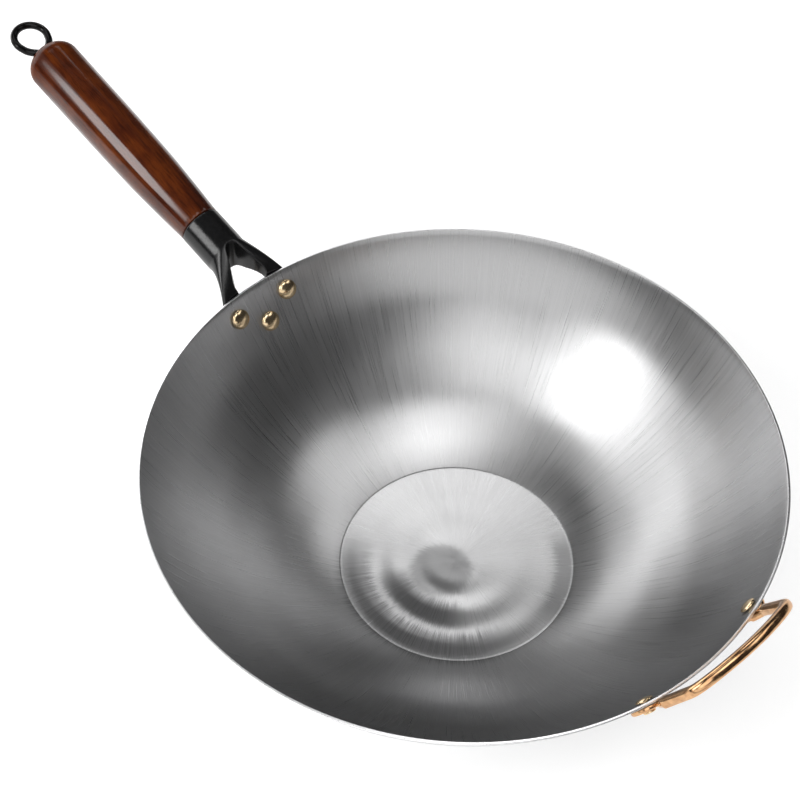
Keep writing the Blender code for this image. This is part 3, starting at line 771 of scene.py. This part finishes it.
def make_eye(finish):
    """The hanging eye of black wire, whose two sides meet inside the grip's mouth."""
    wire = EYE_WIRE / 2
    half_turn = math.radians(115)
    side_steps = 7
    ring = []
    for i in range(side_steps + 1):
        turn = half_turn * i / side_steps
        ring.append((EYE_CENTRE_OUT + EYE_RADIUS * math.cos(turn), EYE_RADIUS * math.sin(turn)))
    last_out, last_side = ring[-1]
    for share, spread in ((0.7, 0.885), (0.44, 0.70), (0.22, 0.48), (0.05, 0.24)):
        ring.append((last_out * share, last_side * spread))
    half = ring + [(0.0, 0.0)]
    whole = half + [(out, -side) for out, side in half[-2:0:-1]]
    places = [(0, side, GRIP_LENGTH + out) for out, side in whole]
    path = smooth_path(places, per_span=6, closed=True)
    outline = section(wire, wire, ROUND_SQUARENESS, count=28)
    _, along_handle = handle_matrices()
    eye = swept(path, [outline] * len(path), (1, 0, 0), closed=True)
    piece = make_object("hanging_eye", eye, along_handle)
    hand_over(piece, finish, "eye_rod")


def helper_path():
    """Centre line of the helper handle from one foot over the grip bar to the other."""
    foot_half = HELPER_FOOT_SPAN / 2
    corner_half = HELPER_CORNER_SPAN / 2
    foot_reach = math.sqrt((RIM_EDGE_RADIUS + HELPER_STANDOFF) ** 2 - foot_half**2)
    foot = Vector((foot_reach, 0, RIM_EDGE_HEIGHT + HELPER_FOOT_ABOVE_RIM))
    rise = Vector((math.cos(HELPER_SLOPE), 0, math.sin(HELPER_SLOPE)))
    side = Vector((0, 1, 0))
    half = [foot + side * foot_half]
    for share in (0.3, 0.6, 0.84):
        across = foot_half + (corner_half - foot_half) * share
        half.append(foot + rise * HELPER_RISE * share + side * across)
    corner_rise, corner_share = 0.99, 0.955
    half.append(foot + rise * HELPER_RISE * corner_rise + side * corner_half * corner_share)
    for share in (0.8, 0.54, 0.27):
        half.append(foot + rise * (HELPER_RISE + HELPER_BOW * (1 - share**2)) + side * corner_half * share)
    middle = foot + rise * (HELPER_RISE + HELPER_BOW)
    other = [Vector((p.x, -p.y, p.z)) for p in half[::-1]]
    return smooth_path(half + [middle] + other, per_span=8)


def make_helper(finish):
    """The cast helper handle: a bowed bar, two legs and a foot pad under each."""
    helper = Matrix.Rotation(HELPER_ANGLE, 4, "Z")
    path = helper_path()
    outline = section(HELPER_BAR_WIDTH / 2, HELPER_BAR_DEPTH / 2, HELPER_BAR_SQUARENESS, count=48)
    end_reach = HELPER_BAR_DEPTH / 5
    bar = swept(*with_round_ends(path, outline, end_reach), (0, 1, 0))
    piece = make_object("helper_bar", bar, helper)
    turn = angle_for_half_span(HELPER_RIVET_SPREAD, HELPER_RIVET_DOWN)
    neck_radius = HELPER_NECK_DIAMETER / 2
    neck_offset = SHEET + 2 * SEAT_GAP + neck_radius
    out_of_bar = Vector((math.sin(HELPER_SLOPE), 0, -math.cos(HELPER_SLOPE)))
    neck_shift = out_of_bar * (HELPER_BAR_DEPTH / 2 - neck_radius)
    pad_centre = (0, HELPER_RIVET_DOWN - HELPER_PAD_DOWN)
    outline = rounded_outline([pad_centre], HELPER_PAD_RADIUS, steps=64)
    steps = []
    for name, side, foot in (("left", 1, path[0]), ("right", -1, path[-1])):
        pad = wall_pad(outline, side * turn, HELPER_RIVET_DOWN, HELPER_PAD_THICKNESS, PLATE_EDGE)
        steps.append(("UNION", make_object("helper_pad_" + name, pad, helper)))
        place = wall_frame(side * turn, HELPER_RIVET_DOWN - HELPER_NECK_UP, neck_offset)
        start = place @ Vector((-side * HELPER_NECK_INWARD, 0, 0))
        neck, neck_frame = pin_between(start, foot + neck_shift, neck_radius, steps=40)
        steps.append(("UNION", make_object("helper_neck_" + name, neck, helper @ neck_frame)))
    for name, matrix in helper_rivet_places():
        drill = stepped_drill(HELPER_RIVET, HELPER_PAD_THICKNESS)
        steps.append(("DIFFERENCE", make_object("pad_hole_" + name, drill, matrix)))
    combine(piece, steps)
    soften(piece, CAST_VOXEL * 0.75, rounds=3)
    hand_over(piece, finish, "helper_handle")


def make_rivets(finish):
    plates = {"bracket": (BRACKET_RIVET, PLATE_THICKNESS), "helper": (HELPER_RIVET, HELPER_PAD_THICKNESS)}
    for name, matrix in rivet_places() + helper_rivet_places():
        sizes, plate = plates[name.split("_")[0]]
        piece = make_object("gold_" + name, rivet_body(sizes, SHEET + SEAT_GAP + plate), matrix)
        hand_over(piece, finish, name)


class Tree:
    """Adds and links shader nodes in a few words."""

    def __init__(self, name):
        self.material = bpy.data.materials.new(name)
        self.material.use_nodes = True
        self.nodes = self.material.node_tree.nodes
        self.links = self.material.node_tree.links
        self.shader = self.nodes["Principled BSDF"]

    def add(self, kind, inputs=None, **settings):
        node = self.nodes.new(kind)
        for name, value in settings.items():
            setattr(node, name, value)
        for name, value in (inputs or {}).items():
            self.put(node.inputs[name], value)
        return node

    def put(self, socket, value):
        if isinstance(value, bpy.types.NodeSocket):
            self.links.new(value, socket)
        elif isinstance(value, bpy.types.Node):
            self.links.new(value.outputs[0], socket)
        else:
            socket.default_value = value

    def maths(self, operation, a, b=0.0):
        return self.add("ShaderNodeMath", {0: a, 1: b}, operation=operation).outputs[0]

    def total(self, *terms):
        """Sum of values, each multiplied by its weight."""
        result = None
        for value, weight in terms:
            part = self.maths("MULTIPLY", value, weight)
            result = part if result is None else self.maths("ADD", result, part)
        return result

    def spread(self, value, low, high, to_low=0.0, to_high=1.0):
        node = self.add("ShaderNodeMapRange", {"Value": value, "From Min": low, "From Max": high})
        node.inputs["To Min"].default_value = to_low
        node.inputs["To Max"].default_value = to_high
        node.interpolation_type = "SMOOTHSTEP"
        return node.outputs[0]

    def vary(self, noise, low, high):
        """A value that goes from low to high as the noise rises."""
        return self.spread(noise, NOISE_LOW, NOISE_HIGH, low, high)

    def tint(self, noise, dark, light):
        """A colour that goes from dark to light as the noise rises."""
        return self.ramp(noise, [(NOISE_LOW, dark), (NOISE_HIGH, light)])

    def noise(self, vector, scale, detail=2.0, roughness=0.5, distortion=0.0):
        node = self.add("ShaderNodeTexNoise", {"Vector": vector, "Scale": scale, "Detail": detail})
        node.inputs["Roughness"].default_value = roughness
        node.inputs["Distortion"].default_value = distortion
        return node.outputs[0]

    def mix_colour(self, factor, a, b, blend="MIX"):
        node = self.add("ShaderNodeMix", data_type="RGBA", blend_type=blend)
        self.put(node.inputs["Factor"], factor)
        self.put(node.inputs[6], a)
        self.put(node.inputs[7], b)
        return node.outputs[2]

    def ramp(self, value, stops):
        node = self.add("ShaderNodeValToRGB", {"Fac": value})
        ramp = node.color_ramp
        while len(ramp.elements) < len(stops):
            ramp.elements.new(0.5)
        for element, (place, colour) in zip(ramp.elements, stops):
            element.position = place
            element.color = (*colour, 1)
        return node.outputs[0]

    def bump(self, height, distance):
        node = self.add("ShaderNodeBump", {"Height": height, "Distance": distance, "Strength": 1.0})
        return node.outputs[0]

    def set(self, **sockets):
        for name, value in sockets.items():
            self.put(self.shader.inputs[name.replace("_", " ")], value)


def round_coordinates(tree):
    """The place on the object, its distance from the Z axis and its flat direction from that axis."""
    place = tree.add("ShaderNodeTexCoord").outputs["Object"]
    parts = tree.add("ShaderNodeSeparateXYZ", {0: place})
    flat = tree.add("ShaderNodeCombineXYZ", {0: parts.outputs[0], 1: parts.outputs[1]}).outputs[0]
    radius = tree.add("ShaderNodeVectorMath", {0: flat}, operation="LENGTH").outputs["Value"]
    direction = tree.add("ShaderNodeVectorMath", {0: flat}, operation="NORMALIZE").outputs[0]
    return place, radius, direction


def steel_finish():
    """Stainless steel brushed from the middle outwards, with faint turning lines, duller patches whose
    colour is also darkened as painted dark reflections, and a cut edge coloured near white as a painted
    highlight.
    """
    tree = Tree("brushed_steel")
    place, radius, direction = round_coordinates(tree)
    ways = tree.add("ShaderNodeSeparateXYZ", {0: direction})

    def streaks(round_scale, radial_scale, detail):
        vector = tree.add(
            "ShaderNodeCombineXYZ",
            {
                0: tree.maths("MULTIPLY", ways.outputs[0], round_scale),
                1: tree.maths("MULTIPLY", ways.outputs[1], round_scale),
                2: tree.maths("MULTIPLY", radius, radial_scale),
            },
        )
        return tree.noise(vector.outputs[0], 1.0, detail, 0.6)

    fine = streaks(round_scale=420.0, radial_scale=30.0, detail=3.0)
    middle = streaks(round_scale=150.0, radial_scale=22.0, detail=2.0)
    broad = streaks(round_scale=55.0, radial_scale=9.0, detail=2.0)
    only_radius = tree.add("ShaderNodeCombineXYZ", {2: radius}).outputs[0]
    rings = tree.noise(only_radius, scale=620.0, detail=3.0, roughness=0.65)
    marks = tree.total((fine, 0.6), (middle, 0.4))
    shift = tree.maths("MULTIPLY", tree.maths("SUBTRACT", marks, 0.5), PATCH_RAGGEDNESS)
    ragged = tree.maths("ADD", radius, shift)

    def crescent(middle_radius, half_width, towards, half_turn):
        """One where a ring segment of the base is duller and is darkened in colour as a painted dark
        reflection, with ragged edges.
        """
        off = tree.maths("ABSOLUTE", tree.maths("SUBTRACT", ragged, middle_radius))
        across = tree.spread(off, half_width * 0.55, half_width * 1.25, 1.0, 0.0)
        angle, reach = math.radians(towards), math.radians(half_turn)
        way = (math.cos(angle), math.sin(angle), 0)
        facing = tree.add("ShaderNodeVectorMath", {0: direction, 1: way}, operation="DOT_PRODUCT")
        around = tree.spread(facing.outputs["Value"], math.cos(reach * 1.35), math.cos(reach * 0.6))
        return tree.maths("MULTIPLY", across, around)

    swirl_centre = (*BASE_SWIRL_CENTRE, SHEET)
    from_centre = tree.add("ShaderNodeVectorMath", {0: place, 1: swirl_centre}, operation="DISTANCE")
    from_swirl = tree.maths("ADD", from_centre.outputs["Value"], shift)
    swirl = tree.spread(from_swirl, SWIRL_RADIUS, SWIRL_REACH, SWIRL_SHARE, 0.0)
    inner = crescent(**INNER_CRESCENT)
    outer = crescent(**OUTER_CRESCENT)
    side = tree.maths("MULTIPLY", crescent(**SIDE_CRESCENT), SIDE_CRESCENT_SHARE)
    patches = tree.maths("MAXIMUM", tree.maths("MAXIMUM", inner, outer), tree.maths("MAXIMUM", swirl, side))
    streakiness = tree.spread(marks, 0.40, 0.58, 0.7, 1.0)
    # This mask gives the patches more roughness and also paints dark reflections into their colour
    dull = tree.maths("MULTIPLY", patches, streakiness)
    edge_line = RIM_RADIUS * math.cos(RIM_SLOPE) + (SHEET + BOWL_DEPTH) * math.sin(RIM_SLOPE)
    up = tree.add("ShaderNodeSeparateXYZ", {0: place}).outputs[2]
    towards_edge = tree.total((radius, math.cos(RIM_SLOPE)), (up, math.sin(RIM_SLOPE)))
    cut_edge_painted_highlight = tree.spread(towards_edge, edge_line - CUT_EDGE_START, edge_line - CUT_EDGE_FULL)
    colour = tree.tint(marks, STEEL_DARK, STEEL_LIGHT)
    # Painted dark reflections: the duller patches are darkened towards near black
    colour = tree.mix_colour(tree.maths("MULTIPLY", dull, PAINTED_DARK_SHARE), colour, STEEL_PAINTED_DARK_REFLECTION)
    # Painted highlight: the rim's polished cut edge is coloured near white
    colour = tree.mix_colour(cut_edge_painted_highlight, colour, STEEL_CUT_EDGE_PAINTED_HIGHLIGHT)
    rough = tree.vary(marks, 0.26, 0.34)
    relief = tree.total((fine, 0.8), (rings, 0.2), (middle, 0.6), (broad, 0.4))
    relief_share = tree.spread(radius, BASE_RADIUS * 0.8, BASE_RADIUS * 1.2, BRUSH_SHARE_IN_BASE, 1.0)
    tangent = tree.add("ShaderNodeTangent", direction_type="RADIAL", axis="Z")
    tree.set(
        Base_Color=colour,
        Metallic=1.0,
        Roughness=tree.maths("ADD", rough, tree.maths("MULTIPLY", dull, DULL_EXTRA_ROUGHNESS)),
        Anisotropic=0.8,
        Normal=tree.bump(tree.maths("MULTIPLY", relief, relief_share), BRUSH_DEPTH),
        Tangent=tangent.outputs[0],
    )
    return tree.material


def iron_finish():
    """Glossy black enamel over a fine cast skin."""
    tree = Tree("black_iron")
    place = tree.add("ShaderNodeTexCoord").outputs["Object"]
    skin = tree.noise(place, scale=700.0, detail=4.0, roughness=0.6)
    broad = tree.noise(place, scale=90.0, detail=3.0)
    tree.set(
        Base_Color=tree.tint(broad, (0.003, 0.003, 0.0033), (0.007, 0.007, 0.0075)),
        Roughness=tree.vary(skin, 0.19, 0.26),
        Normal=tree.bump(skin, distance=0.000015),
        Specular_IOR_Level=0.5,
    )
    return tree.material


def wire_finish():
    """Gloss black paint on bent wire."""
    tree = Tree("black_wire")
    place = tree.add("ShaderNodeTexCoord").outputs["Object"]
    peel = tree.noise(place, scale=450.0, detail=3.0)
    tree.set(
        Base_Color=tree.tint(peel, (0.002, 0.002, 0.002), (0.005, 0.004, 0.004)),
        Roughness=tree.vary(peel, 0.08, 0.13),
        Normal=tree.bump(peel, distance=0.000005),
        Specular_IOR_Level=0.2,
    )
    return tree.material


def wood_finish():
    """Red-brown wood with its grain along the grip, under lacquer that is less glossy at the free end."""
    tree = Tree("red_brown_wood")
    place = tree.add("ShaderNodeTexCoord").outputs["Object"]
    _, along_handle = handle_matrices()
    local = tree.add("ShaderNodeMapping", {"Vector": place}, vector_type="TEXTURE")
    local.inputs["Location"].default_value = along_handle.translation
    local.inputs["Rotation"].default_value = along_handle.to_euler()
    stretched = tree.add("ShaderNodeMapping", {"Vector": local.outputs[0]})
    stretched.inputs["Scale"].default_value = (1, 1, GRAIN_STRETCH)
    broad = tree.noise(stretched.outputs[0], scale=130.0, detail=4.0, roughness=0.6, distortion=0.8)
    fine = tree.noise(stretched.outputs[0], scale=1300.0, detail=4.0, roughness=0.6)
    cloud = tree.noise(local.outputs[0], scale=55.0, detail=3.0, roughness=0.6)
    colour = tree.ramp(tree.total((broad, 0.6), (cloud, 0.4)), WOOD_TONES)
    pores = tree.spread(fine, 0.36, 0.5, 0.6, 1.0)
    shade = tree.add("ShaderNodeCombineColor", {0: pores, 1: pores, 2: pores}).outputs[0]
    along_grip = tree.add("ShaderNodeSeparateXYZ", {0: local.outputs[0]}).outputs[2]
    fade_start = GRIP_LENGTH * LACQUER_FADE_START
    fade_end = GRIP_LENGTH * LACQUER_FADE_END
    tree.set(
        Base_Color=tree.mix_colour(1.0, colour, shade, "MULTIPLY"),
        Roughness=tree.vary(fine, 0.40, 0.50),
        Normal=tree.bump(fine, distance=0.00002),
        Coat_Weight=tree.spread(along_grip, fade_start, fade_end, 1.0, LACQUER_LEFT),
        Coat_Roughness=0.10,
        Specular_IOR_Level=0.04,
    )
    return tree.material


def gold_finish(name, dark, light, smooth, dull):
    """Polished plated metal with slight stains and wear."""
    tree = Tree(name)
    place = tree.add("ShaderNodeTexCoord").outputs["Object"]
    stain = tree.noise(place, scale=260.0, detail=3.0, roughness=0.6)
    grain = tree.noise(place, scale=1800.0, detail=2.0)
    tree.set(
        Base_Color=tree.tint(stain, dark, light),
        Metallic=1.0,
        Roughness=tree.vary(stain, smooth, dull),
        Normal=tree.bump(grain, distance=0.00001),
    )
    return tree.material


def add_camera():
    camera = bpy.data.objects.new("camera", bpy.data.cameras.new("camera"))
    bpy.context.scene.collection.objects.link(camera)
    camera.data.sensor_width = SENSOR_WIDTH
    camera.data.lens = LENS_IN_PIXELS / IMAGE_SIZE * SENSOR_WIDTH
    camera.data.clip_start = 0.01
    flat = math.cos(CAMERA_PITCH)
    ahead = Vector((math.sin(CAMERA_YAW) * flat, math.cos(CAMERA_YAW) * flat, -math.sin(CAMERA_PITCH)))
    right = Vector((math.cos(CAMERA_YAW), -math.sin(CAMERA_YAW), 0))
    up = right.cross(ahead)
    rolled_right = right * math.cos(CAMERA_ROLL) + up * math.sin(CAMERA_ROLL)
    rolled_up = up * math.cos(CAMERA_ROLL) - right * math.sin(CAMERA_ROLL)
    place = Matrix((rolled_right, rolled_up, -ahead)).transposed().to_4x4()
    place.translation = CAMERA_PLACE
    turn = Matrix.Rotation(TURN_TO_HANDLE, 4, "Z")
    camera.matrix_world = Matrix.Translation((0, 0, CAMERA_LIFT)) @ turn @ place
    bpy.context.scene.camera = camera


def add_floor():
    """A white floor that keeps a soft shadow and shows as white in the metal."""
    bpy.ops.mesh.primitive_plane_add(size=FLOOR_SIZE, location=(0, 0, 0))
    floor = bpy.context.object
    floor.name = "floor"
    tree = Tree("white_floor")
    path = tree.add("ShaderNodeLightPath")
    seen = tree.maths("MAXIMUM", path.outputs["Is Camera Ray"], path.outputs["Is Glossy Ray"])
    seen = tree.maths("MAXIMUM", seen, path.outputs["Is Transmission Ray"])
    tree.set(
        Base_Color=FLOOR_COLOUR,
        Roughness=1.0,
        Specular_IOR_Level=0.0,
        Emission_Color=(1, 1, 1, 1),
        Emission_Strength=tree.maths("MULTIPLY", seen, FLOOR_GLOW),
    )
    floor.data.materials.append(tree.material)


def add_world():
    """A dim studio, so that the steel keeps the dark parts of its reflections."""
    world = bpy.data.worlds.new("studio")
    bpy.context.scene.world = world
    world.use_nodes = True
    background = world.node_tree.nodes["Background"]
    background.inputs["Color"].default_value = (1, 1, 1, 1)
    background.inputs["Strength"].default_value = WORLD_LEVEL


def add_softbox(name, azimuth, elevation, half_width, half_height, level, distance=LAMP_DISTANCE):
    """An oval lamp that faces the wok, with its place and half sizes as angles seen from there."""
    across = distance * math.tan(math.radians(half_width))
    upright = distance * math.tan(math.radians(half_height))
    lamp = bpy.data.lights.new(name, "AREA")
    lamp.shape = "ELLIPSE"
    lamp.size = 2 * across
    lamp.size_y = 2 * upright
    lamp.energy = level * math.pi * math.pi * across * upright
    made = bpy.data.objects.new(name, lamp)
    made.visible_camera = False
    bpy.context.scene.collection.objects.link(made)
    turn, rise = math.radians(azimuth), math.radians(elevation)
    away = Vector((math.cos(turn) * math.cos(rise), math.sin(turn) * math.cos(rise), math.sin(rise)))
    made.location = away * distance
    made.rotation_euler = away.to_track_quat("Z", "Y").to_euler()


def add_lights():
    """Lamps by direction, rise, half width and half height in degrees, level, and distance if far."""
    add_softbox("key_core", 70.5, 36, 8, 17, 5.8, FAR_LAMP_DISTANCE)
    add_softbox("key_wings", 58, 37, 32, 17, 0.95)
    add_softbox("fill", 128, 46, 17, 14, 1.9)
    add_softbox("low_side", 4, 13, 30, 17, 2.8)
    add_softbox("low_back", 126, 20, 48, 12, 1.1)
    add_softbox("high_side", 233, 49, 14, 9, 1.9)
    add_softbox("far", 314, 51, 8, 7, 3.8, FAR_LAMP_DISTANCE)
    add_softbox("far_side", 266, 42, 8, 8, 1.5, FAR_LAMP_DISTANCE)
    add_softbox("top", 138, 71, 18, 10, 1.7)
    add_softbox("top_side", 186, 69, 11, 10, 2.1)
    add_softbox("top_low_side", 358, 61, 11, 7, 1.9)
    add_softbox("overhead", 200, 84, 9, 7, 1.5)


steel = steel_finish()
iron = iron_finish()
wood = wood_finish()
wire = wire_finish()
rose_gold = gold_finish("rose_gold", **ROSE_GOLD)
pale_gold = gold_finish("pale_gold", **PALE_GOLD)

make_bowl(steel)
make_bracket(iron)
make_grip(wood)
make_eye(wire)
make_helper(rose_gold)
make_rivets(pale_gold)

add_floor()
add_world()
add_lights()
add_camera()
bpy.context.scene.view_settings.view_transform = "Standard"
